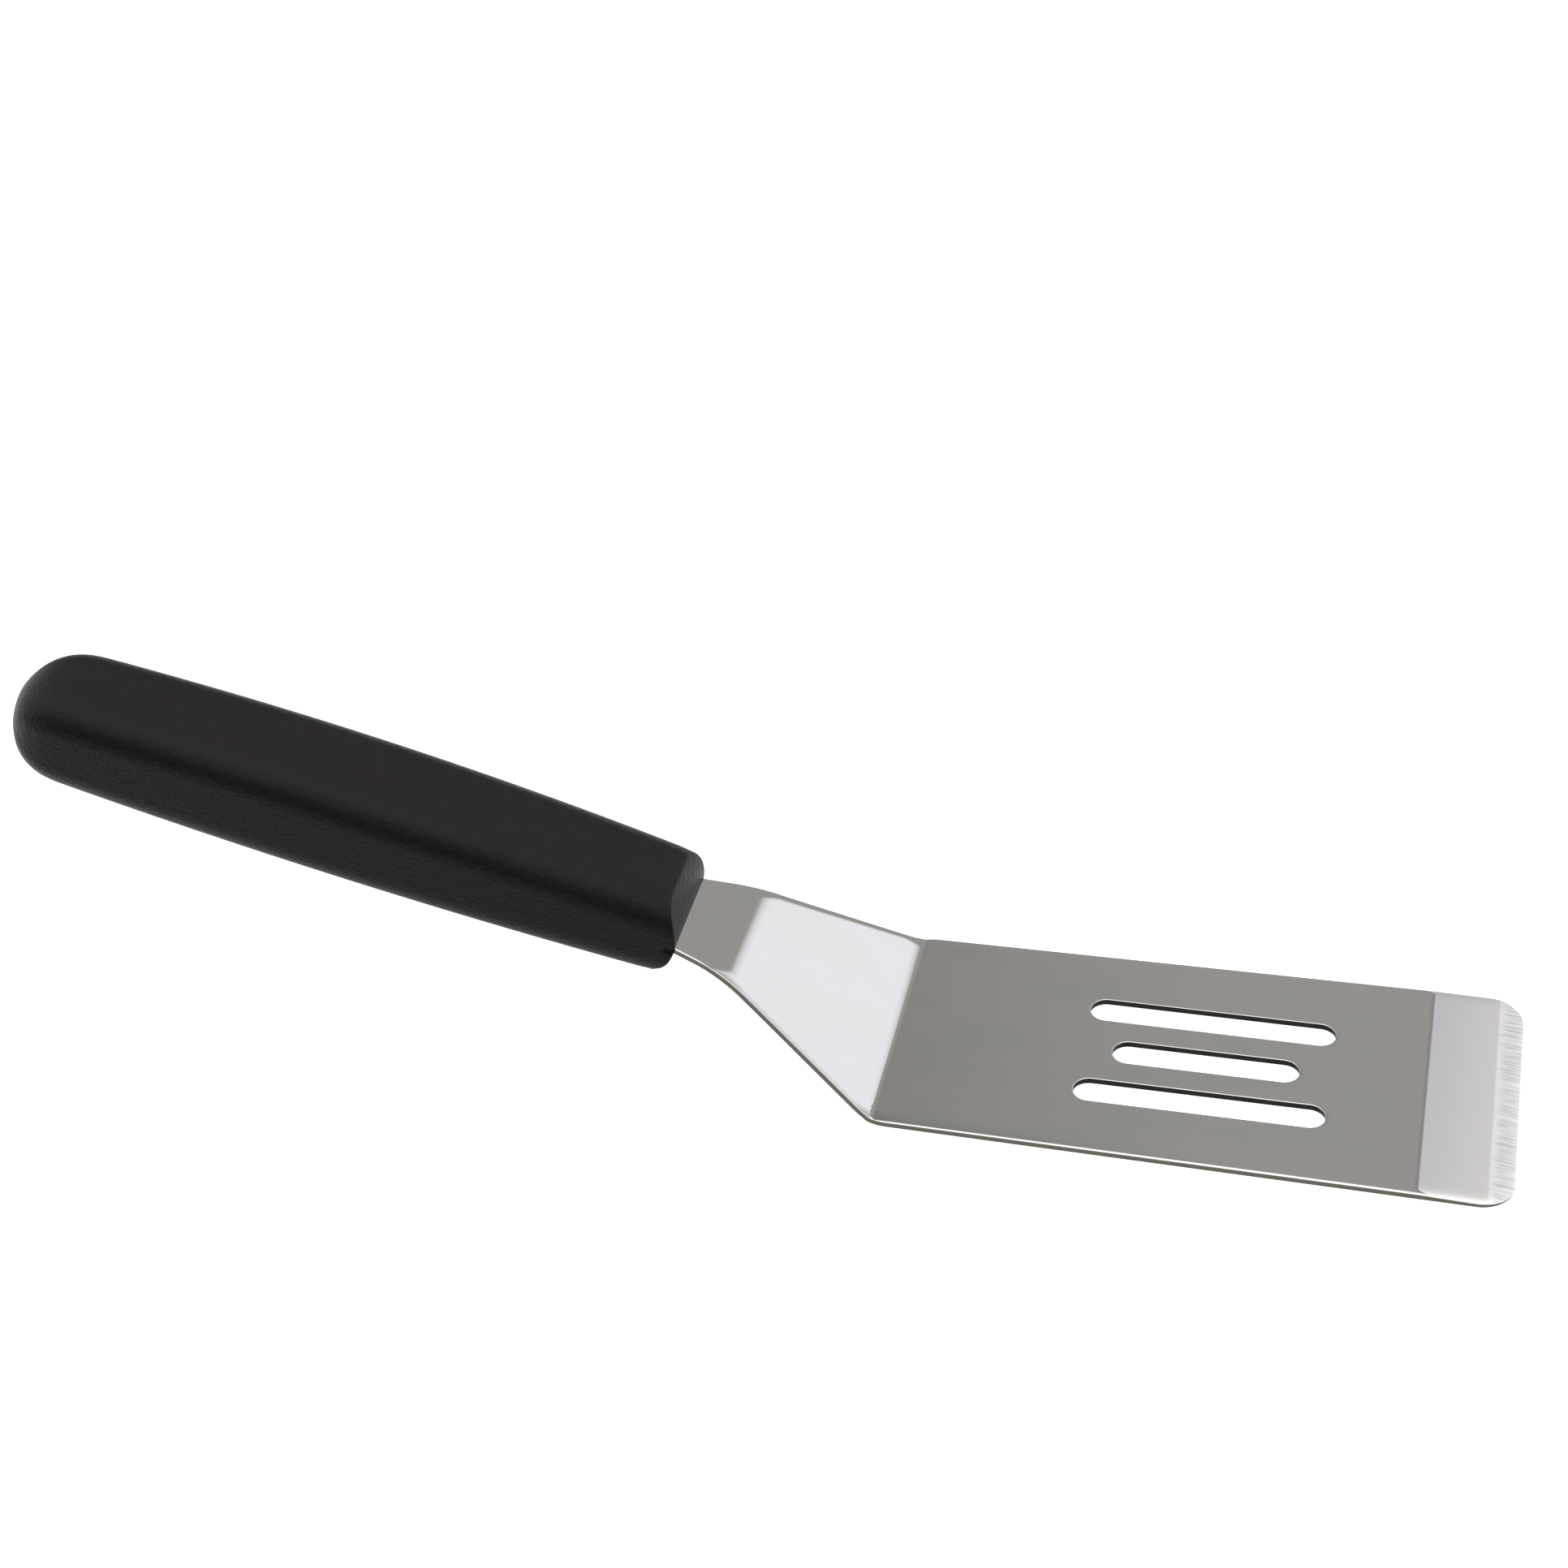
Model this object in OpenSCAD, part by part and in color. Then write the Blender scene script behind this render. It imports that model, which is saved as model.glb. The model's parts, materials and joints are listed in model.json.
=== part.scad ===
// Slotted offset spatula: one cranked stainless blade, with a plastic handle
// moulded over its tang.
//
// Frame: +X runs along the blade to its thin front edge, +Z is up, and the
// flat underside of the blade lies on z = 0. The origin is at the middle of
// the overall length. Everything is symmetric about y = 0.

/* [Blade] */
// Length of the flat blade, from the bend to the front edge
blade_l = 101.2; // [80:0.2:130]
// Width of the blade at its front edge
front_w = 50.8; // [44:0.2:60]
// Width of the blade at the bend
bend_w = 48; // [40:0.2:50]
// Thickness of the sheet
sheet_t = 1.1; // [0.8:0.1:1.5]
// Radius of the two front corners
front_corner_r = 5.6; // [3:0.1:9]
// Radius of the two shoulders beside the bend
shoulder_r = 8; // [6:0.5:14]

/* [Front edge] */
// Length of the gently ground zone behind the front edge
taper_l = 14.6; // [10:0.2:18]
// Thickness where the ground zone meets the bevel
taper_t = 0.85; // [0.7:0.05:0.95]
// Length of the bevel
bevel_l = 4; // [2:0.5:6]
// Thickness left at the front edge
edge_t = 0.3; // [0.2:0.05:0.5]

/* [Slots] */
// Width of each slot
slot_w = 5.4; // [4.5:0.1:6]
// Length of the two outer slots, end to end
outer_slot_l = 40.4; // [30:0.2:50]
// Length of the centre slot, end to end
centre_slot_l = 30.4; // [20:0.2:40]
// Distance between neighbouring slots
slot_pitch = 10.2; // [8:0.1:12]
// How far the slots sit ahead of the middle of the blade
slot_shift = 0.6; // [0:0.1:3]

/* [Crank and neck] */
// Steepness of the crank
crank_angle = 32.4; // [25:0.1:40]
// Length of the crank along its top face, fold to fold
crank_l = 30.8; // [26:0.2:34]
// Width where the crank meets the neck
crank_end_w = 23.6; // [21:0.2:27]
// Inner radius of the bend between blade and crank
blade_bend_r = 3.5; // [2:0.5:10]
// Outer radius of the bend between crank and neck
neck_bend_r = 30; // [8:1:36]
// Bare length of the neck in front of the handle
neck_l = 8.6; // [7:0.1:12]
// Width of the neck where it enters the handle
neck_end_w = 19.4; // [18:0.1:19.8]
// Radius in plan of the waist between crank and neck
waist_r = 70; // [30:5:80]

/* [Tang inside the handle] */
// Length of the tang
tang_l = 84; // [60:1:95]
// Width of the tang
tang_w = 12; // [10:0.5:13]
// Diameter of the keying holes
key_hole_d = 6; // [4:0.5:7]
// Distance of the first keying hole from the handle's face
key_hole_start = 24; // [18:1:30]
// Distance between the keying holes
key_hole_pitch = 22; // [15:1:26]

/* [Handle] */
// Length of the handle along its axis
handle_l = 117; // [105:1:130]
// Slope of the neck and the handle
handle_pitch = 14.5; // [10:0.5:18]
// Width at the middle of the grip
grip_w = 22.6; // [21.5:0.1:26]
// Width at the two ends of the grip
grip_end_w = 20.4; // [20.2:0.1:22]
// Thickness at the middle of the grip
grip_h = 17.8; // [16:0.1:20]
// Thickness at the front face
grip_front_h = 15; // [13:0.1:17]
// Thickness where the butt starts to round off
grip_butt_h = 16.2; // [14:0.1:18]
// Rise of the grip's back at the middle
grip_arch = 0.4; // [0:0.1:1]
// Corner radius of the grip's section
grip_r = 5.2; // [3:0.1:6.5]
// Length over which the butt is rounded off
butt_l = 11.7; // [8:0.1:14]
// Fullness of the rounded butt
butt_full = 2.6; // [2:0.1:3]
// Depth of the slit that lets the edge of the neck into each side
side_slit_l = 1.6; // [0.8:0.1:2.5]

/* [Hidden] */
$fn = 96;

// Points on one quarter of the grip's rounded section
corner_pts = 11;
// Rings along the grip, and over the butt
grip_rings = 22;
butt_rings = 12;
// The butt closes at this angle of its rounding, leaving a tiny flat
butt_last_a = 87;
// Thickness of the butt's closing flat
butt_flat_h = 2;
// Slope and curvature of the handle's domed front face
face_slope = 0.045;
face_curve = 0.05;
// Steps along each bend of the sheet
bend_steps = 8;
// Steps round the front corners, and round the outline's gentler turns
corner_steps = 12;
turn_steps = 6;
// Half length of the two extrusions whose overlap is the sheet
reach = 60;
// How far the side slits start inside the neck's edge, and run out past the grip
slit_overlap = 0.2;
slit_w = 10;

steel = [0.72, 0.72, 0.73];
black = [0.08, 0.08, 0.09];

front_x = blade_l / 2;
bend_x = -blade_l / 2;
// The sides turn in a little ahead of the fold line
shoulder_x = bend_x + 1.3;

// Direction up the crank, and up the neck, in the side view
crank_dir = [-cos(crank_angle), sin(crank_angle)];
neck_dir = [-cos(handle_pitch), sin(handle_pitch)];
crank_normal = [sin(crank_angle), cos(crank_angle)];
neck_normal = [sin(handle_pitch), cos(handle_pitch)];

// Folds of the top face, in the side view
fold1 = [bend_x, sheet_t];
fold2 = fold1 + crank_l * crank_dir;
// Length that each bend takes from the straight on either side of its fold
bend1_cut = blade_bend_r * tan(crank_angle / 2);
bend2_cut = neck_bend_r * tan((crank_angle - handle_pitch) / 2);
bend1_centre = [bend_x + bend1_cut, sheet_t + blade_bend_r];
bend2_centre = fold2 - bend2_cut * crank_dir - neck_bend_r * crank_normal;

// Middle of the tang where it enters the handle
face_centre = fold2 + neck_l * neck_dir - sheet_t / 2 * neck_normal;
tang_end = face_centre + tang_l * neck_dir;

// The neck narrows a little just inside the handle, and is down to the tang's
// width further in
root_step_l = 2.5;
root_step_w = 0.8;
root_taper_l = 9;
// Half outline of the sheet in plan, from the front edge to the tang's end
outline = [
    [front_x, front_w / 2],
    [shoulder_x, bend_w / 2],
    [fold2.x, crank_end_w / 2],
    [face_centre.x, neck_end_w / 2],
    [face_centre.x - root_step_l, (neck_end_w - root_step_w) / 2],
    [face_centre.x - root_taper_l, tang_w / 2],
    [tang_end.x, tang_w / 2]
];
tang_corner_r = 4;
// A corner that turns by less than this many degrees is left sharp
least_turn = 0.5;

function unit(v) = v / norm(v);
function flip_y(p) = [p.x, -p.y];
function arc(centre, r, from_a, to_a, n) =
    [for (i = [0:n]) let (a = from_a + (to_a - from_a) * i / n) centre + r * [cos(a), sin(a)]];

// Points of the arc of radius r that rounds corner p, whose sides run towards
// a and b, from a's side to b's
function rounded(p, a, b, r, n) =
    let (
        ua = unit(a - p),
        ub = unit(b - p),
        half_a = acos(ua * ub) / 2,
        centre = p + unit(ua + ub) * r / sin(half_a),
        from = p + ua * r / tan(half_a) - centre,
        to = p + ub * r / tan(half_a) - centre,
        turn = 180 - 2 * half_a
    )
    turn < least_turn ? [p] : [
        for (i = [0:n])
            let (t = turn * i / n)
            centre + (sin(turn - t) * from + sin(t) * to) / sin(turn)
    ];

module both_sides() {
    children();
    mirror([0, 1, 0]) children();
}

module slot(len, y) {
    translate([slot_shift, y]) {
        square([len - slot_w, slot_w], center = true);
        for (s = [-1, 1]) translate([s * (len - slot_w) / 2, 0]) circle(d = slot_w);
    }
}

// Outline of the whole sheet seen from above
module plan() {
    half = concat(
        rounded(outline[0], flip_y(outline[0]), outline[1], front_corner_r, corner_steps),
        rounded(outline[1], outline[0], outline[2], shoulder_r, turn_steps),
        rounded(outline[2], outline[1], outline[3], waist_r, turn_steps),
        [for (i = [3:5]) outline[i]],
        rounded(outline[6], outline[5], flip_y(outline[6]), tang_corner_r, turn_steps)
    );
    other_half = [for (i = [len(half) - 1:-1:0]) flip_y(half[i])];
    difference() {
        polygon(concat(half, other_half));
        slot(centre_slot_l, 0);
        both_sides() slot(outer_slot_l, slot_pitch);
    }
}

// Line of the sheet in the side view, off its folds by h below the top face
function side_line(h) = concat(
    [[front_x, sheet_t - h]],
    arc(bend1_centre, blade_bend_r + h, -90, -90 - crank_angle, bend_steps),
    arc(bend2_centre, neck_bend_r - h, 90 - crank_angle, 90 - handle_pitch, bend_steps),
    [tang_end + (sheet_t / 2 - h) * neck_normal]
);

// Side view of the sheet, with the front ground thin from above
module side() {
    top = side_line(0);
    under = side_line(sheet_t);
    difference() {
        polygon(concat(top, [for (i = [len(under) - 1:-1:0]) under[i]]));
        polygon([
            [front_x - taper_l, sheet_t], [front_x - bevel_l, taper_t], [front_x, edge_t],
            [front_x + 1, edge_t], [front_x + 1, sheet_t + 1], [front_x - taper_l, sheet_t + 1]
        ]);
    }
}

// Places its children in the handle's own frame: origin at the middle of the
// front face, x along the axis towards the blade
module in_handle() {
    translate([face_centre.x, 0, face_centre.y]) rotate([0, handle_pitch, 0]) children();
}

module sheet() {
    difference() {
        intersection() {
            rotate([90, 0, 0]) linear_extrude(2 * reach, center = true) side();
            linear_extrude(2 * reach, center = true) plan();
        }
        in_handle() for (i = [0:2])
            translate([-key_hole_start - i * key_hole_pitch, 0, 0])
                cylinder(d = key_hole_d, h = 4 * sheet_t, center = true);
    }
}

// Position along the grip, from -1 at the front face to 1 at the butt's end
function along(s) = 2 * s / handle_l - 1;
function bulge(s) = 1 - along(s) * along(s);
function width_at(s) = grip_end_w + (grip_w - grip_end_w) * bulge(s);
function height_at(s) =
    grip_front_h + (grip_butt_h - grip_front_h) * (along(s) + 1) / 2
    + (grip_h - (grip_front_h + grip_butt_h) / 2) * bulge(s);

// Rounded rectangle of w by h, from the top middle round through +y
function section(w, h, r) = [
    for (q = [0:3], i = [0:corner_pts - 1])
        let (
            a = 90 - 90 * q - 90 * i / (corner_pts - 1),
            side_y = q == 0 || q == 1 ? 1 : -1,
            side_z = q == 0 || q == 3 ? 1 : -1
        )
        [side_y * (w / 2 - r) + r * cos(a), side_z * (h / 2 - r) + r * sin(a)]
];

// How far the domed face falls back at height v from the axis
function face_back(v) = face_slope * abs(v) + face_curve * v * v;

// One ring of the grip at distance s, drawn in by the butt's rounding k
function ring(s, k) =
    let (
        w = width_at(s) * k,
        h = butt_flat_h + (height_at(s) - butt_flat_h) * k,
        r = min(grip_r, w / 2 - 0.05, h / 2 - 0.05)
    )
    [for (p = section(w, h, r)) [-s, p.x, p.y + grip_arch * bulge(s)]];

// The front ring, laid on the domed face
function front_ring() = [for (p = ring(0, 1)) [-face_back(p.z), p.y, p.z]];

// All rings, from the front face to the tiny flat that closes the butt
straight_l = handle_l - butt_l;
first_ring_s = 4;
grip_skin = concat(
    [front_ring()],
    [for (i = [0:grip_rings - 1])
        ring(first_ring_s + (straight_l - first_ring_s) * i / (grip_rings - 1), 1)],
    [for (i = [1:butt_rings])
        let (a = butt_last_a * i / butt_rings)
        ring(straight_l + butt_l * pow(sin(a), 2 / butt_full), pow(cos(a), 2 / butt_full))]
);
// Rearmost point of the butt
back_x = min([for (r = grip_skin, p = r)
    face_centre.x + p.x * cos(handle_pitch) + p.z * sin(handle_pitch)]);

module grip() {
    n = 4 * corner_pts;
    last = len(grip_skin) - 1;
    skin = [for (k = [0:last - 1], i = [0:n - 1])
        [k * n + i, (k + 1) * n + i, (k + 1) * n + (i + 1) % n, k * n + (i + 1) % n]];
    // Strips across the face, between points at the same height
    face = [for (i = [0:n / 2 - 2]) [i, i + 1, n - 2 - i, n - 1 - i]];
    butt = [[for (i = [n - 1:-1:0]) last * n + i]];
    polyhedron([for (r = grip_skin) each r], concat(skin, face, butt), convexity = 4);
}

// Moves its children from the blade's middle to the middle of the whole length
module on_origin() {
    translate([-(front_x + back_x) / 2, 0, 0]) children();
}

// One bent sheet: slotted blade, crank, neck and the tang inside the handle
module blade() {
    color(steel) on_origin() sheet();
}

// The moulded handle. It fills the tang's keying holes, and a short slit on
// each side of its front face lets the edges of the neck in
module handle() {
    color(black) on_origin() difference() {
        in_handle() grip();
        sheet();
        in_handle() both_sides()
            translate([-side_slit_l, neck_end_w / 2 - slit_overlap, -sheet_t / 2])
                cube([2 * side_slit_l, slit_w, sheet_t]);
    }
}

blade();
handle();
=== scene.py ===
"""Looks of a slotted offset spatula: a polished steel blade in a black moulded handle.

+X runs to the blade's thin front edge, +Y across the blade, +Z up, and the
blade's flat underside lies on z = 0. Lengths are in metres.
"""
import json
import math

import bpy
import numpy as np
from mathutils import Matrix, Vector
from mathutils.geometry import delaunay_2d_cdt


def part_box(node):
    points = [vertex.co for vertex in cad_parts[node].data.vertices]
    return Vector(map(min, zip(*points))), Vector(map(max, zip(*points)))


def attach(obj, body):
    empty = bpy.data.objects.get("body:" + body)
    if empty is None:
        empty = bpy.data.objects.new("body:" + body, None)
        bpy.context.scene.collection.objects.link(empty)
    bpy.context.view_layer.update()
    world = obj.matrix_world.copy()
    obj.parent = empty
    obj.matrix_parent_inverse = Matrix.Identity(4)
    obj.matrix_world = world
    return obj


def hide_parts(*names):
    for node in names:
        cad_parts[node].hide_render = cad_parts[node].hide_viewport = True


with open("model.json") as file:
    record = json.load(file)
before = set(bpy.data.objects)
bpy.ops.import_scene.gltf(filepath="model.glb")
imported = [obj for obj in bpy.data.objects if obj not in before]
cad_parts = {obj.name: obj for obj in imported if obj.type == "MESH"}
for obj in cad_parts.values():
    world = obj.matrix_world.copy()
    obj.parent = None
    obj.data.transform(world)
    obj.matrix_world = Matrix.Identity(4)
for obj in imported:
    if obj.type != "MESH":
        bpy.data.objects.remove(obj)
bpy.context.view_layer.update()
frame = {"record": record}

MM = 0.001


def mount(name):
    """Place of one of the record's mounts."""
    return next(m["pos_m"] for m in frame["record"]["mounts"] if m["name"] == name)


# ---------------------------------------------------------------- the sheet
SHEET_T = mount("blade_top")[2]
FRONT_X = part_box("blade")[1][0]
BLADE_L = 101.2 * MM
FOLD_X = FRONT_X - BLADE_L              # fold between the flat blade and the crank
CRANK_ANGLE = math.radians(32.4)
CRANK_L = 30.8 * MM
CRANK_BEND_R = 1.5 * MM                 # of the hollow side, which is the top face
CRANK_EASE_R = 20 * MM                  # the crank curves gently into that bend
CRANK_EASE = math.radians(8.6)
PITCH = math.radians(14.5)              # slope of the neck and of the handle
NECK_L = 8.6 * MM
NECK_BEND_R = 30 * MM                   # of the bulging side, which is the top face
TANG_L = 84 * MM

# Half widths in plan, and the radius of each corner of the outline
FRONT_HALF = 25.4 * MM
SHOULDER_HALF = 24 * MM
SHOULDER_AHEAD = 1.3 * MM               # the sides turn in ahead of the fold
CRANK_END_HALF = 11.8 * MM
NECK_END_HALF = 9.7 * MM
ROOT_HALF = 9.3 * MM                    # just inside the handle
TANG_HALF = 6 * MM
ROOT_STEP_L = 2.5 * MM                  # from the handle's face to that width
ROOT_TAPER_L = 9 * MM                   # and to the tang's
FRONT_CORNER_R = 5.6 * MM
SHOULDER_R = 8 * MM
WAIST_R = 70 * MM
TANG_CORNER_R = 4 * MM
ROOT_R = 4 * MM
ROOT_END_R = 6 * MM

# Ground front zone: where each part starts, how much the top face has dropped
# at its end, and how softly it starts
TAPER_L = 14.6 * MM
TAPER_DROP = 0.25 * MM
TAPER_BLEND = 0.5 * MM
BEVEL_L = 4 * MM
BEVEL_DROP = 0.8 * MM
BEVEL_BLEND = 0.12 * MM
TAPER_X = FRONT_X - TAPER_L
BEVEL_X = FRONT_X - BEVEL_L

SLOT_R = 2.7 * MM
SLOT_PITCH = 10.2 * MM
SLOT_MIDDLE_X = FRONT_X - 50 * MM
OUTER_SLOT_L = 40.4 * MM
CENTRE_SLOT_L = 30.4 * MM
SLOTS = (                               # length, y
    (OUTER_SLOT_L, SLOT_PITCH),
    (CENTRE_SLOT_L, 0.0),
    (OUTER_SLOT_L, -SLOT_PITCH),
)


def rotated(length, angle):
    """Vector in the side view, from the front towards the butt, rising by angle."""
    return np.array([-length * math.cos(angle), length * math.sin(angle)])


def up_normal(angle):
    return np.array([math.sin(angle), math.cos(angle)])


FOLD1 = np.array([FOLD_X, SHEET_T])
FOLD2 = FOLD1 + rotated(CRANK_L, CRANK_ANGLE)
FACE = FOLD2 + rotated(NECK_L, PITCH) - SHEET_T / 2 * up_normal(PITCH)
EASE_CUT = CRANK_EASE_R * math.tan(CRANK_EASE / 2)
BEND1_TURN = CRANK_ANGLE - CRANK_EASE
BEND1_CUT = CRANK_BEND_R * math.tan(BEND1_TURN / 2)
CUTS = (EASE_CUT + BEND1_CUT) / math.sin(CRANK_ANGLE)
EASE_START = FOLD1 + rotated(EASE_CUT + CUTS * math.sin(BEND1_TURN), CRANK_ANGLE)
EASE_MIDDLE = EASE_START + CRANK_EASE_R * up_normal(CRANK_ANGLE)
BEND1_END_X = FOLD1[0] + BEND1_CUT + CUTS * math.sin(CRANK_EASE)
BEND1_MIDDLE = np.array([BEND1_END_X, SHEET_T + CRANK_BEND_R])
BEND2_CUT = NECK_BEND_R * math.tan((CRANK_ANGLE - PITCH) / 2)
BEND2_MIDDLE = FOLD2 - rotated(BEND2_CUT, CRANK_ANGLE) - NECK_BEND_R * up_normal(CRANK_ANGLE)
BEND1_SPAN = (BEND1_MIDDLE[0] - CRANK_BEND_R * math.sin(BEND1_TURN), BEND1_MIDDLE[0])
BEND2_SPAN = (
    BEND2_MIDDLE[0] + NECK_BEND_R * math.sin(PITCH),
    BEND2_MIDDLE[0] + NECK_BEND_R * math.sin(CRANK_ANGLE),
)
TANG_END_X = FACE[0] - TANG_L * math.cos(PITCH)


def top_line(x):
    """Height and slope of the sheet's top face at x, before it is ground."""
    if x >= BEND1_SPAN[1]:
        return SHEET_T, 0.0
    if x >= BEND1_SPAN[0]:
        slope = math.asin((BEND1_MIDDLE[0] - x) / CRANK_BEND_R)
        return BEND1_MIDDLE[1] - CRANK_BEND_R * math.cos(slope), slope
    if x >= EASE_START[0]:
        slope = math.asin((EASE_MIDDLE[0] - x) / CRANK_EASE_R)
        return EASE_MIDDLE[1] - CRANK_EASE_R * math.cos(slope), slope
    if x >= BEND2_SPAN[1]:
        return SHEET_T + (FOLD_X - x) * math.tan(CRANK_ANGLE), CRANK_ANGLE
    if x >= BEND2_SPAN[0]:
        slope = math.asin((x - BEND2_MIDDLE[0]) / NECK_BEND_R)
        return BEND2_MIDDLE[1] + NECK_BEND_R * math.cos(slope), slope
    return FOLD2[1] + (FOLD2[0] - x) * math.tan(PITCH), PITCH


def softened(value, blend):
    """A ramp that starts at 0 and bends in over plus and minus blend; and its slope."""
    if value <= -blend:
        return 0.0, 0.0
    if value >= blend:
        return value, 1.0
    return (value + blend) ** 2 / (4 * blend), (value + blend) / (2 * blend)


def ground_off(x):
    """Depth ground off the top face at x, and the slope of that depth."""
    taper_slope = TAPER_DROP / (TAPER_L - BEVEL_L)
    bevel_slope = (BEVEL_DROP - TAPER_DROP) / BEVEL_L - taper_slope
    d1, s1 = softened(x - TAPER_X, TAPER_BLEND)
    d2, s2 = softened(x - BEVEL_X, BEVEL_BLEND)
    return taper_slope * d1 + bevel_slope * d2, taper_slope * s1 + bevel_slope * s2


# Cross-section of an edge: how far in from the outline, how deep below the
# top face, and how far the surface has turned, for the polished roll-off, the
# small radius, the wall and the underside
EDGE_R = 0.1 * MM
UNDER_R = 0.1 * MM
OUTER_ROLL = (2.6 * MM, 0.166 * MM)     # length and drop of the roll-off
SLOT_ROLL = (0.6 * MM, 0.034 * MM)
ROLL_ROWS = 10
ARRIS_ROWS = 5
OUTLINE_STEP = 0.4 * MM
ROUND_STEP = 0.35 * MM                  # along the outline's rounded corners
THIN = 0.8                              # part of the thickness below which edges shrink


def edge_profile(roll_l, drop):
    """Rows of (inset, part of the way down, extra depth, turn) from top to underside."""
    rows = []
    for i in range(ROLL_ROWS + 1):
        u = i / ROLL_ROWS
        inset = roll_l + (EDGE_R - roll_l) * u
        rows.append((inset, 0, drop * u**3, math.atan(3 * drop * u * u / (roll_l - EDGE_R))))
    first_turn = rows[-1][3]
    for i in range(1, ARRIS_ROWS + 1):
        turn = first_turn + (math.pi / 2 - first_turn) * i / ARRIS_ROWS
        rows.append((EDGE_R * (1 - math.sin(turn)), 0,
                     drop + EDGE_R * (1 - math.cos(turn)), turn))
    for i in range(ARRIS_ROWS):
        turn = math.pi / 2 * (1 + i / (ARRIS_ROWS - 1))
        rows.append((UNDER_R * (1 - math.sin(turn)), 1, -UNDER_R * (1 + math.cos(turn)), turn))
    rows.append((roll_l, 1, 0, math.pi))
    return rows


def sheet_point(x, y, out, row):
    """Place and normal on the sheet for a plan point and a row of the edge profile.

    out is the outline's outward normal in plan.
    """
    inset, down, depth, turn = row
    x = x - out[0] * inset
    y = y - out[1] * inset
    z, slope = top_line(x)
    ground, ground_slope = ground_off(x)
    full = SHEET_T - ground
    squeeze = min(1.0, full / (SHEET_T * THIN))
    h = (SHEET_T if down else ground) + depth * squeeze
    place = (x - h * math.sin(slope), y, z - h * math.cos(slope))
    face = slope + (0 if down else math.atan(ground_slope))
    across = Vector((out[0] * math.cos(slope), out[1], -out[0] * math.sin(slope)))
    flat = Vector((math.sin(face), 0, math.cos(face)))
    normal = (flat * math.cos(turn) + across * math.sin(turn)).normalized()
    return place, normal


def spread(start, end, tangent, step):
    """Points from start up to, but not at, end."""
    count = max(1, math.ceil(np.linalg.norm(end - start) / step))
    return [(start + (end - start) * k / count, tangent) for k in range(count)]


def turned(vector, angle):
    """The plan vector turned anticlockwise by angle."""
    c, s = math.cos(angle), math.sin(angle)
    return np.array([vector[0] * c - vector[1] * s, vector[0] * s + vector[1] * c])


def arc(start, ahead, radius, turn):
    """Points from start round a corner, anticlockwise if turn is positive."""
    side = math.copysign(1, turn)
    centre = start + side * radius * np.array([-ahead[1], ahead[0]])
    count = max(3, math.ceil(abs(turn) * max(radius, 2 * MM) / ROUND_STEP))
    points = []
    for k in range(count):
        a = turn * k / count
        points.append((centre + turned(start - centre, a), turned(ahead, a)))
    return points


def rounded_line(corners, radii, step):
    """Points along a polyline whose inner corners are rounded, with unit tangents."""
    points = []
    start = np.array(corners[0])
    for i in range(1, len(corners)):
        corner = np.array(corners[i])
        ahead = (corner - np.array(corners[i - 1])) / np.linalg.norm(corner - corners[i - 1])
        if i == len(corners) - 1:
            points += spread(start, corner, ahead, step) + [(corner, ahead)]
            break
        after = (np.array(corners[i + 1]) - corner) / np.linalg.norm(corners[i + 1] - corner)
        turn = math.acos(max(-1.0, min(1.0, float(ahead @ after))))
        side = 1 if ahead[0] * after[1] - ahead[1] * after[0] > 0 else -1
        cut = radii[i] * math.tan(turn / 2)
        begin = corner - ahead * cut
        points += spread(start, begin, ahead, step)
        points += arc(begin, ahead, radii[i], side * turn)
        start = corner + after * cut
    return points


def outline():
    """The sheet's closed outline in plan, anticlockwise, with outward normals."""
    corners = [
        (FRONT_X, 0), (FRONT_X, FRONT_HALF),
        (FOLD_X + SHOULDER_AHEAD, SHOULDER_HALF), (FOLD2[0], CRANK_END_HALF),
        (FACE[0], NECK_END_HALF), (FACE[0] - ROOT_STEP_L, ROOT_HALF),
        (FACE[0] - ROOT_TAPER_L, TANG_HALF), (TANG_END_X, TANG_HALF), (TANG_END_X, 0),
    ]
    radii = [0, FRONT_CORNER_R, SHOULDER_R, WAIST_R, ROOT_R, ROOT_R, ROOT_END_R,
             TANG_CORNER_R, 0]
    half = rounded_line([np.array(c, float) for c in corners], radii, OUTLINE_STEP)
    far = [((p[0], p[1]), (t[1], -t[0])) for p, t in half]
    near = [((x, -y), (nx, -ny)) for (x, y), (nx, ny) in far[-2:0:-1]]
    return far + near


SLOT_END_STEPS = 24


def slot_outline(length, y):
    """A slot's closed outline with normals that point out of the steel."""
    points = []
    for side in (1, -1):
        middle = SLOT_MIDDLE_X + side * (length / 2 - SLOT_R)
        for k in range(SLOT_END_STEPS + 1):
            a = side * math.pi / 2 - math.pi * k / SLOT_END_STEPS
            c, s = math.cos(a), math.sin(a)
            points.append(((middle + SLOT_R * c, y + SLOT_R * s), (-c, -s)))
    return points


def inside_slot(x, y, margin):
    for length, middle in SLOTS:
        dx = max(abs(x - SLOT_MIDDLE_X) - (length / 2 - SLOT_R), 0)
        if math.hypot(dx, y - middle) < SLOT_R + margin:
            return True
    return False


def half_width(x):
    """Half width of the sheet at x, taken as straight between its corners."""
    xs = [TANG_END_X, FACE[0] - ROOT_TAPER_L, FACE[0], FOLD2[0], FOLD_X + SHOULDER_AHEAD,
          FRONT_X]
    ws = [TANG_HALF, TANG_HALF, ROOT_HALF, CRANK_END_HALF, SHOULDER_HALF, FRONT_HALF]
    return float(np.interp(x, xs, ws))


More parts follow.
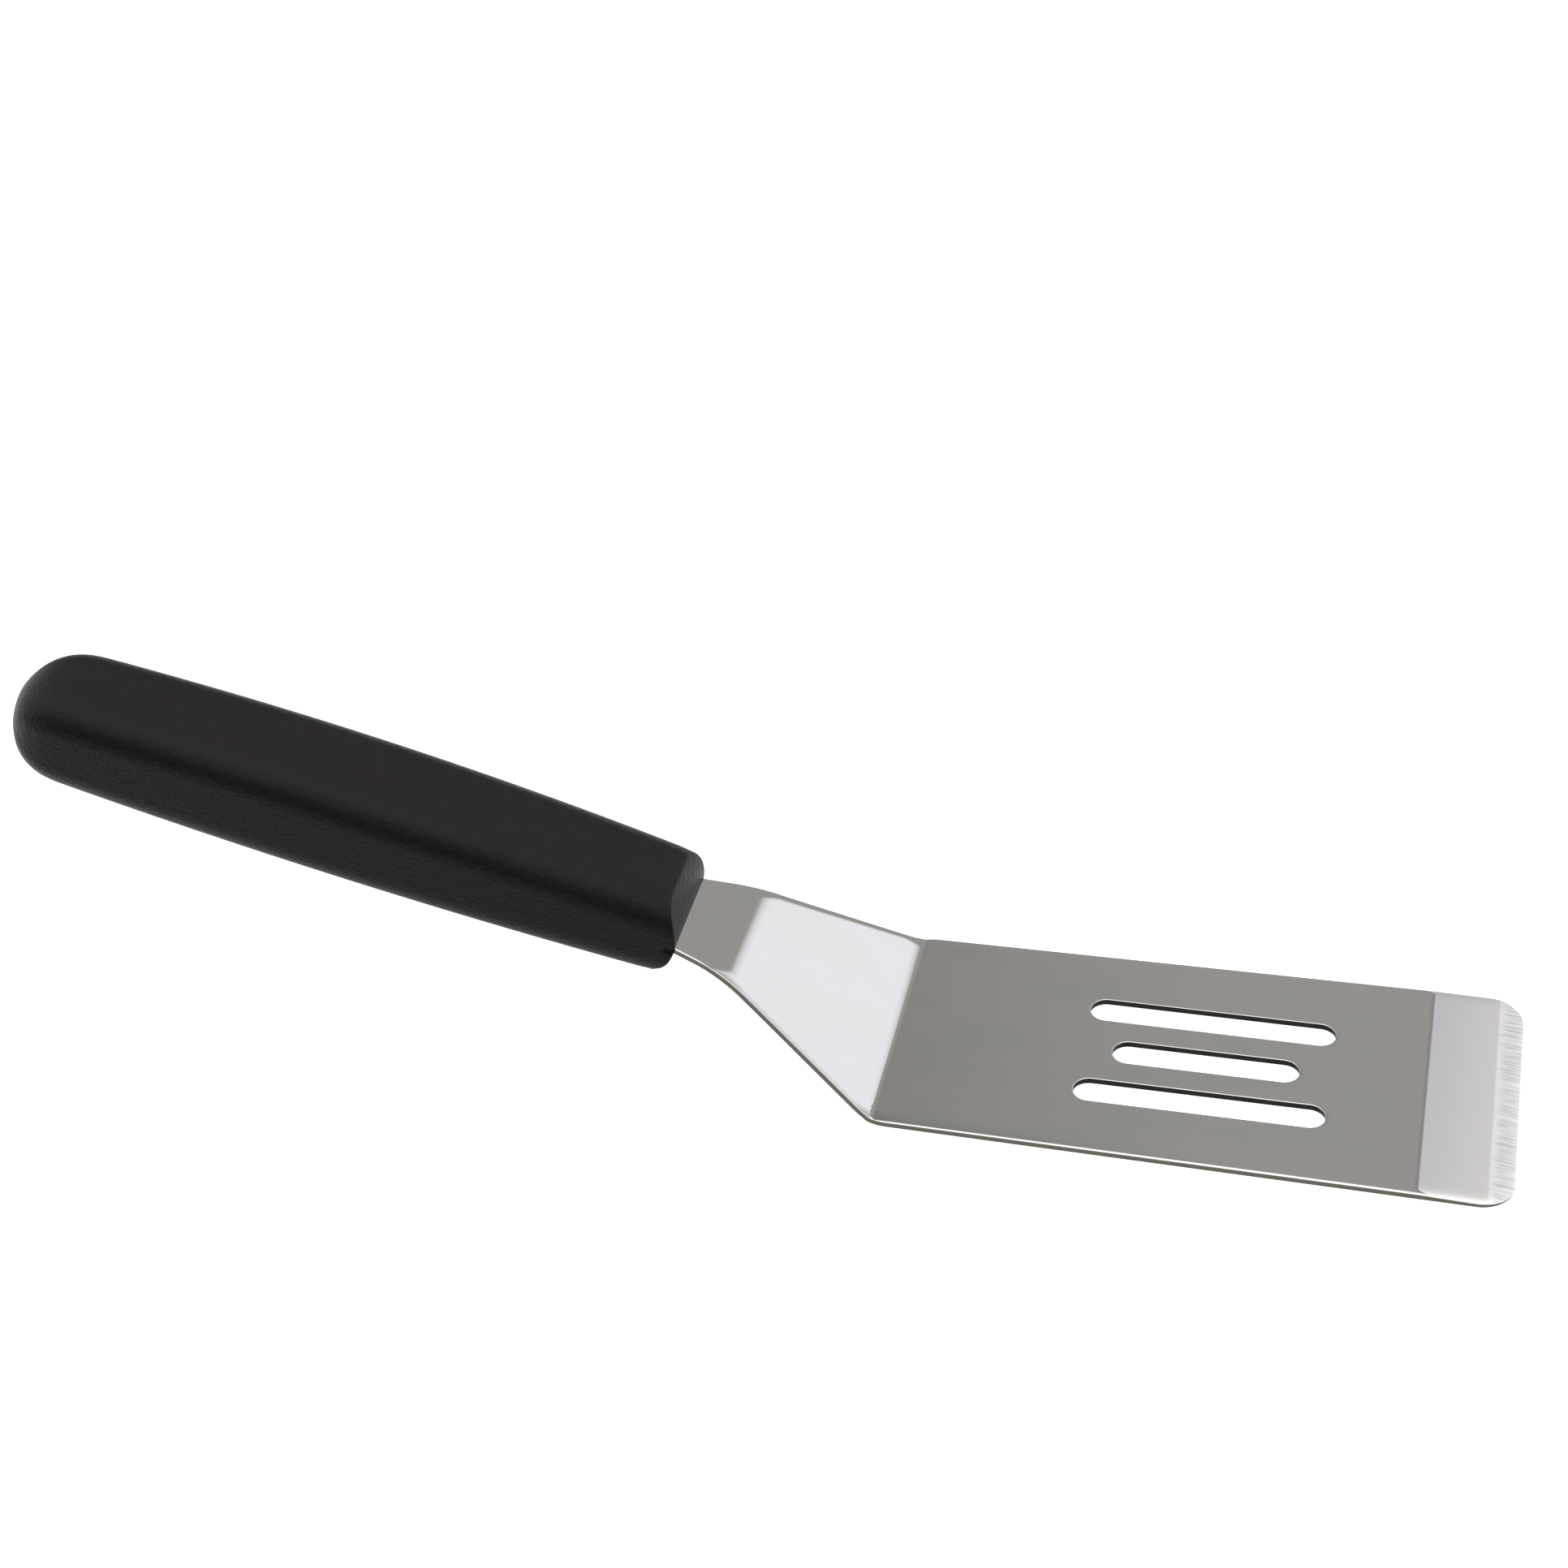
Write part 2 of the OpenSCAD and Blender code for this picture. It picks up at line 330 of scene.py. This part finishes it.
INNER_STEP = 0.5 * MM
INNER_MARGIN = 0.3 * MM
LEAST_GAP = 0.45 * MM                   # between a point and the edge's inner line
BEND1_ROWS, BEND2_ROWS = 9, 17
TAPER_ROWS, BEVEL_ROWS = 5, 4
TAPER_MIDDLE_X = FRONT_X - 9 * MM
BEVEL_MIDDLE_X = FRONT_X - 2.6 * MM


def inner_points(edge):
    """Plan points inside the sheet, in rows along y: many across each bend and ramp.

    All the rows use the same values of y, so that every triangle joins two rows
    that are neighbours and the reflections run straight along a bend.
    """
    taper_reach = TAPER_BLEND + 0.1 * MM
    bevel_reach = BEVEL_BLEND + 0.02 * MM
    stations = [
        *np.linspace(EASE_START[0], BEND1_SPAN[0], BEND1_ROWS),
        *np.linspace(BEND1_SPAN[0], BEND1_SPAN[1], BEND1_ROWS)[1:],
        *np.linspace(BEND2_SPAN[0], BEND2_SPAN[1], BEND2_ROWS),
        *np.linspace(TAPER_X - taper_reach, TAPER_X + taper_reach, TAPER_ROWS),
        *np.linspace(BEVEL_X - bevel_reach, BEVEL_X + bevel_reach, BEVEL_ROWS),
        TAPER_MIDDLE_X,
        BEVEL_MIDDLE_X,
    ]
    edge = np.array(edge)
    points = []
    for x in stations:
        rows = int((half_width(x) - OUTER_ROLL[0] - INNER_MARGIN) / INNER_STEP)
        for y in np.arange(-rows, rows + 1) * INNER_STEP:
            near = np.min(np.hypot(edge[:, 0] - x, edge[:, 1] - y))
            if near > LEAST_GAP:
                points.append((x, float(y)))
    return points


POLISHED, WALL, SLOT_WALL = range(3)    # material indices of the sheet
TOP_ROW = (0, 0, 0, 0)                  # rows of the edge profile for the flat faces
UNDER_ROW = (0, 1, 0, math.pi)
WALL_TURNS = (1.2, math.pi - 0.3)       # an edge's wall lies between these turns


class Sheet:
    """The sheet's mesh: points, normals, faces, and each face's material index."""

    def __init__(self):
        self.verts, self.normals, self.faces, self.finish = [], [], [], []

    def point(self, x, y, out, row):
        place, normal = sheet_point(x, y, out, row)
        self.verts.append(place)
        self.normals.append(normal)
        return len(self.verts) - 1

    def face(self, corners, material):
        self.faces.append(corners)
        self.finish.append(material)


def add_rim(sheet, loop, roll, wall):
    """Faces down the edge along a loop.

    Returns the edge's inner line, and its points on the top and on the underside.
    """
    rows = edge_profile(*roll)
    rings = [[sheet.point(x, y, out, row) for (x, y), out in loop] for row in rows]
    for r in range(len(rows) - 1):
        on_wall = rows[r][3] >= WALL_TURNS[0] and rows[r + 1][3] <= WALL_TURNS[1]
        for i in range(len(loop)):
            j = (i + 1) % len(loop)
            corners = (rings[r][j], rings[r][i], rings[r + 1][i], rings[r + 1][j])
            sheet.face(corners, wall if on_wall else POLISHED)
    inner = [(x - out[0] * roll[0], y - out[1] * roll[0]) for (x, y), out in loop]
    return inner, rings[0], rings[-1]


def triangles(plan, edges, outer_count):
    """Triangles between the plan's points, inside its first outer_count of them."""
    points = [Vector((x / MM, y / MM)) for x, y in plan]
    result = delaunay_2d_cdt(points, edges, [list(range(outer_count))], 1, 1e-7)
    assert len(result[0]) == len(plan), "the plan's lines cross"
    origin = [ids[0] for ids in result[3]]
    return [[origin[i] for i in corners] for corners in result[2]]


def add_flats(sheet, rims):
    """The top face and the underside, between the inner lines of the rims."""
    plan, edges, top_ids, under_ids = [], [], [], []
    for inner, top, under in rims:
        first, n = len(plan), len(inner)
        plan += inner
        edges += [(first + i, first + (i + 1) % n) for i in range(n)]
        top_ids += top
        under_ids += under
    for x, y in inner_points(rims[0][0]):
        plan.append((x, y))
        top_ids.append(sheet.point(x, y, (0, 1), TOP_ROW))
        under_ids.append(sheet.point(x, y, (0, 1), UNDER_ROW))
    for a, b, c in triangles(plan, edges, len(rims[0][0])):
        x, y = np.mean([plan[a], plan[b], plan[c]], axis=0)
        if not inside_slot(x, y, SLOT_ROLL[0] - 0.1 * MM):
            sheet.face((top_ids[a], top_ids[b], top_ids[c]), POLISHED)
            sheet.face((under_ids[c], under_ids[b], under_ids[a]), POLISHED)


def sheet_mesh():
    sheet = Sheet()
    rims = [add_rim(sheet, outline(), OUTER_ROLL, WALL)]
    rims += [add_rim(sheet, slot_outline(*slot), SLOT_ROLL, SLOT_WALL) for slot in SLOTS]
    add_flats(sheet, rims)
    return sheet


def new_object(name, verts, faces, materials, normals=None, indices=None):
    mesh = bpy.data.meshes.new(name)
    mesh.from_pydata(verts, [], faces)
    for material in materials:
        mesh.materials.append(material)
    if indices is not None:
        mesh.polygons.foreach_set("material_index", indices)
    mesh.polygons.foreach_set("use_smooth", [True] * len(mesh.polygons))
    mesh.validate()
    if normals is not None:
        mesh.normals_split_custom_set_from_vertices(normals)
    mesh.update()
    obj = bpy.data.objects.new(name, mesh)
    bpy.context.scene.collection.objects.link(obj)
    return obj


# --------------------------------------------------------------- the handle
HANDLE_L = 117 * MM
GRIP_W, GRIP_END_W = 22.6 * MM, 20.4 * MM
GRIP_H, GRIP_FRONT_H, GRIP_BUTT_H = 17.8 * MM, 15 * MM, 16.2 * MM
GRIP_ARCH = 0.4 * MM                    # rise of the middle above the ends
GRIP_R = 5.2 * MM
LEAST_R = 0.01 * MM
LEAST_SIDE = 0.02 * MM
BUTT_L = 11.7 * MM
BUTT_FULL = 2.6                         # 2 is an ellipse, more is squarer
BUTT_FLAT_H = 2 * MM
BUTT_LAST_A = math.radians(89.3)        # 90 would close it to a line
BUTT_STEPS = 24
BODY_STEPS = 40
BODY_FRONT = 5 * MM                     # ahead of here the rings lean with the face
FACE_SLOPE = 0.045
FACE_CURVE = 0.05 / MM
FACE_STEPS = 8
NOSE_R_TOP = 0.35 * MM
NOSE_R_UNDER = 1.6 * MM
NOSE_STEPS = 8
NOSE_POWER = 1.5                        # how fast one becomes the other round the rim
GAP = 0.06 * MM                         # between the neck and the plastic
CAVITY_R = 0.1 * MM
CAVITY_MOUTH_L = 0.25 * MM
TANG_ROOM = 0.2 * MM                    # beside the tang, inside the handle
CORNER_STEPS = 12
SIDE_STEPS = 20
SLIT_L = 1.6 * MM                       # the slit at each side of the front face
SLIT_HALF_H = 0.48 * MM
SLIT_RINGS = (                          # distance behind the face, depth of the slit
    (2.6 * MM, 0),
    (SLIT_L + 0.2 * MM, 0),
    (SLIT_L, 1),
    (1.2 * MM, 1),
)


def bulge(s):
    """1 in the middle of the handle's length and 0 at its ends."""
    along = 2 * s / HANDLE_L - 1
    return 1 - along * along


def grip_size(s, k):
    """Width, thickness and corner radius at s, drawn in by the butt's rounding k."""
    along = 2 * s / HANDLE_L - 1
    w = (GRIP_END_W + (GRIP_W - GRIP_END_W) * bulge(s)) * k
    h = GRIP_FRONT_H + (GRIP_BUTT_H - GRIP_FRONT_H) * (along + 1) / 2
    h += (GRIP_H - (GRIP_FRONT_H + GRIP_BUTT_H) / 2) * bulge(s)
    h = BUTT_FLAT_H + (h - BUTT_FLAT_H) * k
    return w, h, max(LEAST_R, min(GRIP_R, w / 2 - LEAST_SIDE, h / 2 - LEAST_SIDE))


def section(w, h, r):
    """Rounded rectangle, as (y, z, normal y, normal z), round from the top through +y."""
    signs = ((1, 1), (1, -1), (-1, -1), (-1, 1), (1, 1))

    def on_corner(q, a):
        y, z = signs[q][0] * (w / 2 - r), signs[q][1] * (h / 2 - r)
        return (y + r * math.cos(a), z + r * math.sin(a), math.cos(a), math.sin(a))

    points = []
    for q in range(4):
        first_a = math.pi / 2 * (1 - q)
        last_a = first_a - math.pi / 2
        for i in range(CORNER_STEPS + 1):
            points.append(on_corner(q, first_a + (last_a - first_a) * i / CORNER_STEPS))
        y0, z0, ny, nz = points[-1]
        y1, z1, _, _ = on_corner(q + 1, last_a)
        for i in range(1, SIDE_STEPS):
            u = i / SIDE_STEPS
            points.append((y0 + (y1 - y0) * u, z0 + (z1 - z0) * u, ny, nz))
    return points


def face_back(z):
    """How far the domed front face has fallen back at height z."""
    return FACE_SLOPE * abs(z) + FACE_CURVE * z * z


def in_handle(s, y, z):
    """Place of a point s behind the handle's front face and z above its axis."""
    line = FACE + rotated(s, PITCH) + z * up_normal(PITCH)
    return (line[0], y, line[1])


def slit(y, z, depth):
    """y drawn in to the neck's edge where the slit is, by depth between 0 and 1."""
    if abs(z) > SLIT_HALF_H or abs(y) < NECK_END_HALF:
        return y
    return y + (math.copysign(NECK_END_HALF + GAP, y) - y) * depth


def body_rings():
    """From the tiny flat that closes the butt to the front of the body."""
    straight = HANDLE_L - BUTT_L
    sizes = []
    for i in range(BUTT_STEPS, -1, -1):
        a = BUTT_LAST_A * i / BUTT_STEPS
        sizes.append((straight + BUTT_L * math.sin(a) ** (2 / BUTT_FULL),
                      math.cos(a) ** (2 / BUTT_FULL)))
    sizes += [(s, 1) for s in np.linspace(straight, BODY_FRONT, BODY_STEPS)[1:]]
    return [[(s, y, z + GRIP_ARCH * bulge(s)) for y, z, _, _ in section(*grip_size(s, k))]
            for s, k in sizes]


def slit_rings():
    """Ahead of the body, leaning more and more with the face, up to the rim."""
    rings = []
    for s, depth in SLIT_RINGS:
        lift = GRIP_ARCH * bulge(s)
        lean = 1 - s / BODY_FRONT
        rings.append([(s + face_back(z) * lean, slit(y, z, depth), z + lift)
                      for y, z, _, _ in section(*grip_size(s, 1))])
    return rings


def nose_r(nz):
    """Radius of the front rim where its outward normal's upward part is nz."""
    return NOSE_R_TOP + (NOSE_R_UNDER - NOSE_R_TOP) * max(0.0, -nz) ** NOSE_POWER


def nose_rings():
    """Round the rim, from the sides on to the front face."""
    rings = []
    for i in range(NOSE_STEPS + 1):
        turn = math.pi / 2 * i / NOSE_STEPS
        ring = []
        for y, z, ny, nz in section(*grip_size(0, 1)):
            r = nose_r(nz)
            inset = r * (1 - math.cos(turn))
            y, z = y - ny * inset, z - nz * inset
            ring.append((face_back(z) + r * (1 - math.sin(turn)), slit(y, z, 1), z))
        rings.append(ring)
    return rings


def face_rings(lip):
    """Across the front face, from the rim's inner lip to the mouth round the neck."""
    mouth = section(2 * (NECK_END_HALF + GAP), SHEET_T + 2 * GAP, CAVITY_R)
    rings = []
    for i in range(1, FACE_STEPS + 1):
        u = i / FACE_STEPS
        ring = []
        for (_, y0, z0), (y1, z1, _, _) in zip(lip, mouth):
            y, z = y0 + (y1 - y0) * u, z0 + (z1 - z0) * u
            ring.append((face_back(z), y, z))
        rings.append(ring)
    return rings


def cavity_rings():
    """Inside the handle, round the neck's root and the tang."""
    rings = []
    for s, half in (
        (CAVITY_MOUTH_L, NECK_END_HALF),
        (ROOT_STEP_L, ROOT_HALF + 0.05 * MM),
        (ROOT_TAPER_L, TANG_HALF + TANG_ROOM),
        (TANG_L + 0.3 * MM, TANG_HALF + TANG_ROOM),
    ):
        points = section(2 * (half + GAP), SHEET_T + 2 * GAP, CAVITY_R)
        rings.append([(s, y, z) for y, z, _, _ in points])
    return rings


def grip_mesh():
    rings = body_rings() + slit_rings() + nose_rings()
    rings += face_rings(rings[-1]) + cavity_rings()
    n = len(rings[0])
    verts = [in_handle(*p) for ring in rings for p in ring]
    faces = []
    for r in range(len(rings) - 1):
        for i in range(n):
            j = (i + 1) % n
            faces.append((r * n + i, r * n + j, (r + 1) * n + j, (r + 1) * n + i))
    faces.append(tuple(range(n - 1, -1, -1)))
    faces.append(tuple((len(rings) - 1) * n + i for i in range(n)))
    return verts, faces


# ---------------------------------------------------------------- materials
class Nodes:
    """Short calls for a node tree."""

    def __init__(self, tree):
        self.tree = tree

    def add(self, kind, inputs=(), **settings):
        node = self.tree.nodes.new(kind)
        for key, value in settings.items():
            setattr(node, key, value)
        for i, value in enumerate(inputs):
            self.put(node.inputs[i], value)
        return node

    def put(self, socket, value):
        if isinstance(value, bpy.types.NodeSocket):
            self.tree.links.new(value, socket)
        elif value is not None:
            socket.default_value = value

    def math(self, operation, a, b=None):
        return self.add("ShaderNodeMath", (a, b), operation=operation).outputs[0]

    def dot(self, a, b):
        node = self.add("ShaderNodeVectorMath", (a, b), operation="DOT_PRODUCT")
        return node.outputs["Value"]

    def ramp(self, value, low, high):
        """0 at low, 1 at high, smooth between."""
        node = self.add("ShaderNodeMapRange", interpolation_type="SMOOTHSTEP")
        self.put(node.inputs["Value"], value)
        node.inputs["From Min"].default_value = low
        node.inputs["From Max"].default_value = high
        return node.outputs["Result"]

    def mix(self, factor, a, b):
        """Colour a where factor is 0, colour b where it is 1."""
        node = self.add("ShaderNodeMix", data_type="RGBA")
        self.put(node.inputs["Factor"], factor)
        for socket, value in ((node.inputs[6], a), (node.inputs[7], b)):
            self.put(socket, (*value, 1) if isinstance(value, tuple) else value)
        return node.outputs[2]

    def blend(self, factor, a, b):
        """Number a where factor is 0, number b where it is 1."""
        node = self.add("ShaderNodeMix", data_type="FLOAT")
        self.put(node.inputs["Factor"], factor)
        self.put(node.inputs[2], a)
        self.put(node.inputs[3], b)
        return node.outputs[0]

    def noise(self, place, sizes, detail=2.0, roughness=0.5):
        """Noise whose features are about sizes (x, y, z) in metres."""
        scaled = self.add("ShaderNodeVectorMath", (place,), operation="MULTIPLY")
        scaled.inputs[1].default_value = tuple(1 / size for size in sizes)
        node = self.add("ShaderNodeTexNoise")
        self.put(node.inputs["Vector"], scaled.outputs[0])
        node.inputs["Scale"].default_value = 1
        node.inputs["Detail"].default_value = detail
        node.inputs["Roughness"].default_value = roughness
        return node.outputs["Fac"]

    def bump(self, height, distance):
        node = self.add("ShaderNodeBump")
        node.inputs["Strength"].default_value = 1
        node.inputs["Distance"].default_value = distance
        self.put(node.inputs["Height"], height)
        return node.outputs["Normal"]


def new_material(name, color, metallic, roughness):
    material = bpy.data.materials.new(name)
    material.use_nodes = True
    shader = material.node_tree.nodes["Principled BSDF"]
    shader.inputs["Base Color"].default_value = (*color, 1)
    shader.inputs["Metallic"].default_value = metallic
    shader.inputs["Roughness"].default_value = roughness
    return material, Nodes(material.node_tree), shader


STEEL = (0.62, 0.61, 0.6)
STEEL_PATCH = (0.6, 0.605, 0.585)
TAPER_STEEL = (0.8, 0.8, 0.845)
TAPER_LINE_STEEL = (0.5, 0.5, 0.5)
BEVEL_STEEL = (0.92, 0.92, 0.92)
SCRATCH_STEEL = (0.66, 0.66, 0.66)


def ground_zone(tree, x, y):
    """Where the ground zone is, and a narrow band behind its start.

    Its start bends forwards at the -y side and backwards at the +y side.
    """
    forwards = tree.ramp(y, 1.8 * MM - FRONT_HALF, 0.3 * MM - FRONT_HALF)
    backwards = tree.ramp(y, FRONT_HALF - 1.8 * MM, FRONT_HALF - 0.2 * MM)
    bow = tree.math("SUBTRACT", tree.math("POWER", forwards, 2.5),
                    tree.math("POWER", backwards, 3))
    x = tree.math("SUBTRACT", x, tree.math("MULTIPLY", bow, 1.8 * MM))
    taper = tree.ramp(x, TAPER_X - 0.15 * MM, TAPER_X + 0.15 * MM)
    return taper, tree.ramp(x, TAPER_X - 0.8 * MM, TAPER_X - 0.1 * MM)


def bevel_scratches(tree, place, x):
    """Scratches along x, and how dark they are, which starts at a ragged line."""
    ragged = tree.noise(place, (20 * MM, 0.5 * MM, 9 * MM), 3, 0.7)
    x = tree.math("ADD", x, tree.math("MULTIPLY", ragged, 3.4 * MM))
    scratched = tree.ramp(x, BEVEL_X + 2 * MM, BEVEL_X + 3.4 * MM)
    scratches = tree.noise(place, (9 * MM, 0.22 * MM, 9 * MM), 2, 0.6)
    return scratches, tree.math("MULTIPLY", tree.ramp(scratches, 0.46, 0.58), scratched)


def polished_steel():
    """Mirror polish, with a satin ground zone and a scratched bevel at the front."""
    material, tree, shader = new_material("polished_steel", STEEL, 1.0, 0.08)
    place = tree.add("ShaderNodeTexCoord").outputs["Object"]
    x, y, z = tree.add("ShaderNodeSeparateXYZ", (place,)).outputs
    on_top = tree.ramp(z, 0.08 * MM, 0.16 * MM)
    taper, line = ground_zone(tree, x, y)
    taper = tree.math("MULTIPLY", taper, on_top)
    line = tree.math("MULTIPLY", line, tree.math("SUBTRACT", 1.0, taper))
    lighter = tree.ramp(x, TAPER_X, BEVEL_X + 2 * MM)
    bevel = tree.ramp(x, BEVEL_X - 0.25 * MM, BEVEL_X + 0.25 * MM)
    bevel = tree.math("MULTIPLY", bevel, on_top)
    scratches, dark = bevel_scratches(tree, place, x)
    dark = tree.math("MULTIPLY", dark, bevel)

    smudges = tree.noise(place, (24 * MM, 9 * MM, 24 * MM), 3)
    brushing = tree.noise(place, (9 * MM, 0.09 * MM, 3 * MM), 2)
    color = tree.mix(tree.ramp(smudges, 0.45, 0.65), STEEL, STEEL_PATCH)
    color = tree.mix(line, color, TAPER_LINE_STEEL)
    color = tree.mix(taper, color, tree.mix(lighter, TAPER_STEEL, BEVEL_STEEL))
    color = tree.mix(bevel, color, BEVEL_STEEL)
    color = tree.mix(dark, color, SCRATCH_STEEL)
    tree.put(shader.inputs["Base Color"], color)

    polish = tree.math("ADD", tree.math("MULTIPLY", smudges, 0.04),
                       tree.math("MULTIPLY", brushing, 0.02))
    rough = tree.math("ADD", polish, 0.02)
    rough = tree.blend(taper, rough, 0.38)
    rough = tree.blend(bevel, rough, 0.46)
    tree.put(shader.inputs["Roughness"], rough)
    grooves = tree.math("MULTIPLY", scratches, tree.blend(bevel, 0.02, 1.0))
    tree.put(shader.inputs["Normal"], tree.bump(grooves, 0.02 * MM))
    return material


def sheared_steel_painted_shade(name, color, roughness):
    """The edge of the sheet, dull and marked down its thickness by the press tool, in a dark
    colour that is painted shade.
    """
    material, tree, shader = new_material(name, color, 1.0, roughness)
    place = tree.add("ShaderNodeTexCoord").outputs["Object"]
    marks = tree.noise(place, (0.15 * MM, 0.15 * MM, 2 * MM), 2)
    rough = tree.blend(marks, roughness - 0.08, roughness + 0.08)
    tree.put(shader.inputs["Roughness"], rough)
    tree.put(shader.inputs["Normal"], tree.bump(marks, 0.01 * MM))
    return material


PAINTED_SHADE_BLACK = (0.003, 0.003, 0.0032)     # painted shade of the sides and the underside
BLACK = (0.0118, 0.012, 0.0132)
WORN_BLACK = (0.0138, 0.0122, 0.0117)
PLAIN_BLACK = (0.009, 0.009, 0.0094)    # about the mean, where one colour is needed


def grained_plastic():
    """Black plastic with the mould's fine leather grain, and painted shade that makes the
    sides and the underside darker than the top.
    """
    material, tree, shader = new_material("grained_plastic", PLAIN_BLACK, 0.0, 0.4)
    shader.inputs["Specular IOR Level"].default_value = 0.09
    place = tree.add("ShaderNodeTexCoord").outputs["Object"]
    warm = tree.noise(place, (18 * MM, 7 * MM, 18 * MM), 3)
    color = tree.mix(tree.ramp(warm, 0.42, 0.62), BLACK, WORN_BLACK)
    facing = tree.add("ShaderNodeNewGeometry").outputs["Normal"]
    _, _, up = tree.add("ShaderNodeSeparateXYZ", (facing,)).outputs
    # Painted shade: the colour darkens as the surface turns from facing up to facing sideways
    # and down.
    color = tree.mix(tree.ramp(up, 0.35, 0.9), PAINTED_SHADE_BLACK, color)
    tree.put(shader.inputs["Base Color"], color)
    wrinkles = tree.noise(place, (0.45 * MM,) * 3, 3, 0.6)
    pores = tree.add("ShaderNodeTexVoronoi", feature="SMOOTH_F1")
    tree.put(pores.inputs["Vector"], place)
    pores.inputs["Scale"].default_value = 1 / (0.75 * MM)
    pores.inputs["Smoothness"].default_value = 0.6
    grain = tree.math("ADD", wrinkles, tree.math("MULTIPLY", pores.outputs["Distance"], 0.5))
    tree.put(shader.inputs["Normal"], tree.bump(grain, 0.15 * MM))
    wear = tree.noise(place, (22 * MM, 9 * MM, 9 * MM), 2)
    tree.put(shader.inputs["Roughness"], tree.blend(wear, 0.36, 0.44))
    return material


steel = polished_steel()
# Painted shade: the outer edge's colour is darkened far below steel for the shade on its
# walls, and the slots' edge almost to black for the deeper shade inside them.
edge = sheared_steel_painted_shade("ground_edge", (0.09, 0.083, 0.073), 0.3)
slot_edge_painted_shade = sheared_steel_painted_shade("punched_edge", (0.018, 0.017, 0.016), 0.5)
plastic = grained_plastic()

sheet = sheet_mesh()
blade = new_object("blade_sheet", sheet.verts, sheet.faces, [steel, edge, slot_edge_painted_shade],
                   sheet.normals, sheet.finish)
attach(blade, "root")
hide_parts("blade")

verts, faces = grip_mesh()
grip = new_object("grip", verts, faces, [plastic])
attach(grip, "root")
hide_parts("handle")


# ----------------------------------------------------- camera, floor, studio
CAMERA_AT = Vector((104.22, -388.03, 329.84)) * MM
CAMERA_AZIMUTH = math.radians(14.192)   # from +Y towards -X
CAMERA_DROP = math.radians(35.174)      # below the horizon
CAMERA_ROLL = math.radians(-2.336)
CAMERA_LENS = 71.07


def add_camera():
    data = bpy.data.cameras.new("camera")
    data.sensor_width = 36
    data.lens = CAMERA_LENS
    camera = bpy.data.objects.new("camera", data)
    turn = (
        Matrix.Rotation(CAMERA_AZIMUTH, 4, "Z")
        @ Matrix.Rotation(math.pi / 2 - CAMERA_DROP, 4, "X")
        @ Matrix.Rotation(CAMERA_ROLL, 4, "Z")
    )
    camera.matrix_world = Matrix.Translation(CAMERA_AT) @ turn
    bpy.context.scene.collection.objects.link(camera)
    bpy.context.scene.camera = camera


def add_floor():
    """A pale table, lit from below as well."""
    reach = 4
    corners = [(-reach, -reach, 0), (reach, -reach, 0), (reach, reach, 0), (-reach, reach, 0)]
    material, _, shader = new_material("floor", (0.93, 0.93, 0.93), 0.0, 0.9)
    shader.inputs["Emission Color"].default_value = (1, 1, 1, 1)
    shader.inputs["Emission Strength"].default_value = 0.6
    floor = new_object("floor", corners, [(0, 1, 2, 3)], [material])


def heading(azimuth):
    """Level unit vector, azimuth in degrees from +Y towards +X."""
    a = math.radians(azimuth)
    return Vector((math.sin(a), math.cos(a), 0))


# Parts of the studio, all far away: azimuth of the middle, half width, lowest and
# highest elevation, blur of the sides and of the top and bottom (all in degrees),
# and colour
STUDIO_WHITE = (1.5, 1.5, 1.5)
STUDIO_PARTS = (
    (0, 200, 61, 100, 4, 4, (2.3, 2.24, 2.1)),       # ceiling
    (0, 200, 79, 100, 4, 5, (1.1, 1.08, 1.04)),      # its plain middle, straight above
    (-2, 29, -9, 60, 5, 4, (0.465, 0.452, 0.443)),   # grey wall behind the blade
    (-27, 16, -9, 60, 18, 4, (0.31, 0.292, 0.287)),  # its darker left part
    (62, 35, -9, 60, 5, 4, (0.72, 0.71, 0.7)),       # wall beside the crank
    (62, 35, -9, 43, 5, 18, (1.29, 1.28, 1.36)),     # its bright lower part
    (180, 52, -9, 61, 14, 4, (1.2, 1.2, 1.2)),       # behind the camera
    (180, 60, -9, 32, 14, 14, (0.04, 0.04, 0.04)),   # its dark lower part
)


def add_studio():
    world = bpy.data.worlds.new("studio")
    bpy.context.scene.world = world
    world.use_nodes = True
    tree = Nodes(world.node_tree)
    ray = tree.add("ShaderNodeTexCoord").outputs["Generated"]
    _, _, z = tree.add("ShaderNodeSeparateXYZ", (ray,)).outputs
    degree = math.radians(1)
    elevation = tree.math("DIVIDE", tree.math("ARCSINE", z), degree)
    color = STUDIO_WHITE
    for azimuth, half_w, low, high, blur_w, blur_h, glow in STUDIO_PARTS:
        ahead = tree.dot(ray, heading(azimuth))
        aside = tree.dot(ray, heading(azimuth + 90))
        turned = tree.math("DIVIDE", tree.math("ARCTAN2", aside, ahead), degree)
        half_blur = blur_h / 2
        part = 1.0
        for value, outer, inner in (
            (tree.math("ABSOLUTE", turned), half_w + blur_w / 2, half_w - blur_w / 2),
            (elevation, low - half_blur, low + half_blur),
            (elevation, high + half_blur, high - half_blur),
        ):
            part = tree.math("MULTIPLY", part, tree.ramp(value, outer, inner))
        color = tree.mix(part, color, glow)
    tree.put(world.node_tree.nodes["Background"].inputs["Color"], color)


add_camera()
add_floor()
add_studio()
bpy.context.scene.view_settings.view_transform = "Standard"
